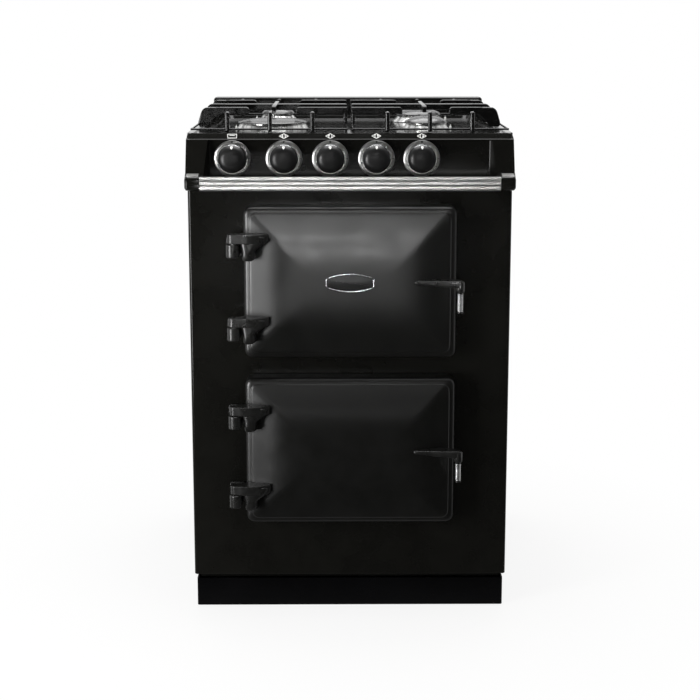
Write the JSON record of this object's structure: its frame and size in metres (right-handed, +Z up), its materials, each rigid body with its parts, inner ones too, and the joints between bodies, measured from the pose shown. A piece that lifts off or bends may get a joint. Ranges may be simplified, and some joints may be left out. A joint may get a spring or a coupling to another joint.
{
  "type": "range cooker",
  "caption": "Free-standing cast iron range cooker with a gas hob under cast pan supports, a knob fascia, a towel rail and two side-hinged domed oven doors.",
  "frame": {"origin": "centre of the bounding box's bottom face, on the floor", "axes": "+Z up, +Y towards the wall behind, so the doors face -Y; +X to the right as seen from the front"},
  "size_m": [0.597, 0.683, 0.95],
  "materials": {
    "cast_enamel": "gloss black vitreous enamel",
    "sheet_enamel": "gloss black vitreous enamel",
    "sheet_steel": "matt black",
    "cast_black": "satin black",
    "steel": "brushed",
    "chrome": "polished",
    "aluminium": "satin",
    "brass": "machined",
    "plastic": "gloss black",
    "wool": "mineral wool"
  },
  "bodies": {
    "body": {"plinth": "sheet_enamel", "base_frame": "sheet_steel", "front_casting": "cast_enamel", "side_panel_left": "sheet_enamel", "side_panel_right": "sheet_enamel", "back_panel": "sheet_steel", "cable_gland": "plastic", "insulation": "wool", "upper_oven_box": "sheet_enamel", "lower_oven_box": "sheet_enamel", "upper_oven_shelf": "chrome", "lower_oven_shelf": "chrome", "grill_element": "steel", "ring_element": "steel", "fan_motor": "steel", "upper_hinge_bracket_top": "cast_black", "upper_hinge_bracket_bottom": "cast_black", "lower_hinge_bracket_top": "cast_black", "lower_hinge_bracket_bottom": "cast_black", "fascia": "cast_enamel", "towel_rail": "aluminium", "rail_bracket_left": "cast_black", "rail_bracket_right": "cast_black", "oven_switch": "plastic", "gas_manifold": "brass", "hob_plate": "sheet_enamel", "burner_base_front_left": "aluminium", "burner_base_rear_left": "aluminium", "burner_base_rear_right": "aluminium", "burner_base_front_right": "aluminium", "burner_cap_front_left": "cast_black", "burner_cap_rear_left": "cast_black", "burner_cap_rear_right": "cast_black", "burner_cap_front_right": "cast_black"},
    "upper_door_leaf": {"upper_door": "cast_enamel", "upper_door_liner": "steel", "upper_handle": "cast_black", "upper_handle_coil": "chrome", "badge_plate": "chrome"},
    "lower_door_leaf": {"lower_door": "cast_enamel", "lower_door_liner": "steel", "lower_handle": "cast_black", "lower_handle_coil": "chrome"},
    "oven_control": {"knob_oven": "plastic", "dial_ring_oven": "steel"},
    "plug_front_left": {"valve_plug_front_left": "brass"},
    "plug_rear_left": {"valve_plug_rear_left": "brass"},
    "plug_rear_right": {"valve_plug_rear_right": "brass"},
    "plug_front_right": {"valve_plug_front_right": "brass"},
    "control_front_left": {"knob_front_left": "plastic", "dial_ring_front_left": "steel"},
    "control_rear_left": {"knob_rear_left": "plastic", "dial_ring_rear_left": "steel"},
    "control_rear_right": {"knob_rear_right": "plastic", "dial_ring_rear_right": "steel"},
    "control_front_right": {"knob_front_right": "plastic", "dial_ring_front_right": "steel"},
    "fan": {"fan_wheel": "steel"},
    "grid_left": {"pan_support_left": "cast_black"},
    "grid_right": {"pan_support_right": "cast_black"}
  },
  "joints": [
    {"name": "upper_door_hinge", "type": "hinge", "parent": "body", "child": "upper_door_leaf", "pos_m": [-0.2125, -0.3235, 0.64], "axis": [0, 0, -1], "range_deg": [0, 110]},
    {"name": "lower_door_hinge", "type": "hinge", "parent": "body", "child": "lower_door_leaf", "pos_m": [-0.2125, -0.3235, 0.32], "axis": [0, 0, -1], "range_deg": [0, 110]},
    {"name": "oven_control_turn", "type": "hinge", "parent": "body", "child": "oven_control", "pos_m": [-0.2147, -0.25, 0.866], "axis": [0, -1, 0], "range_deg": [0, 270]},
    {"name": "tap_turn_front_left", "type": "hinge", "parent": "body", "child": "plug_front_left", "pos_m": [-0.1206, -0.25, 0.866], "axis": [0, -1, 0], "range_deg": [0, 165]},
    {"name": "tap_turn_rear_left", "type": "hinge", "parent": "body", "child": "plug_rear_left", "pos_m": [-0.036, -0.25, 0.866], "axis": [0, -1, 0], "range_deg": [0, 165]},
    {"name": "tap_turn_rear_right", "type": "hinge", "parent": "body", "child": "plug_rear_right", "pos_m": [0.0482, -0.25, 0.866], "axis": [0, -1, 0], "range_deg": [0, 165]},
    {"name": "tap_turn_front_right", "type": "hinge", "parent": "body", "child": "plug_front_right", "pos_m": [0.1308, -0.25, 0.866], "axis": [0, -1, 0], "range_deg": [0, 165]},
    {"name": "tap_push_front_left", "type": "slide", "parent": "plug_front_left", "child": "control_front_left", "axis": [0, 1, 0], "range_m": [0, 0.003], "stiffness_N_per_m": 900, "springref_m": -0.003},
    {"name": "tap_push_rear_left", "type": "slide", "parent": "plug_rear_left", "child": "control_rear_left", "axis": [0, 1, 0], "range_m": [0, 0.003], "stiffness_N_per_m": 900, "springref_m": -0.003},
    {"name": "tap_push_rear_right", "type": "slide", "parent": "plug_rear_right", "child": "control_rear_right", "axis": [0, 1, 0], "range_m": [0, 0.003], "stiffness_N_per_m": 900, "springref_m": -0.003},
    {"name": "tap_push_front_right", "type": "slide", "parent": "plug_front_right", "child": "control_front_right", "axis": [0, 1, 0], "range_m": [0, 0.003], "stiffness_N_per_m": 900, "springref_m": -0.003},
    {"name": "fan_spin", "type": "hinge", "parent": "body", "child": "fan", "pos_m": [0, 0.1395, 0.3235], "axis": [0, 1, 0], "continuous": true},
    {"name": "pan_support_left_lift", "type": "slide", "parent": "body", "child": "grid_left", "axis": [0, 0, 1], "range_m": [0, 0.08]},
    {"name": "pan_support_right_lift", "type": "slide", "parent": "body", "child": "grid_right", "axis": [0, 0, 1], "range_m": [0, 0.08]}
  ]
}
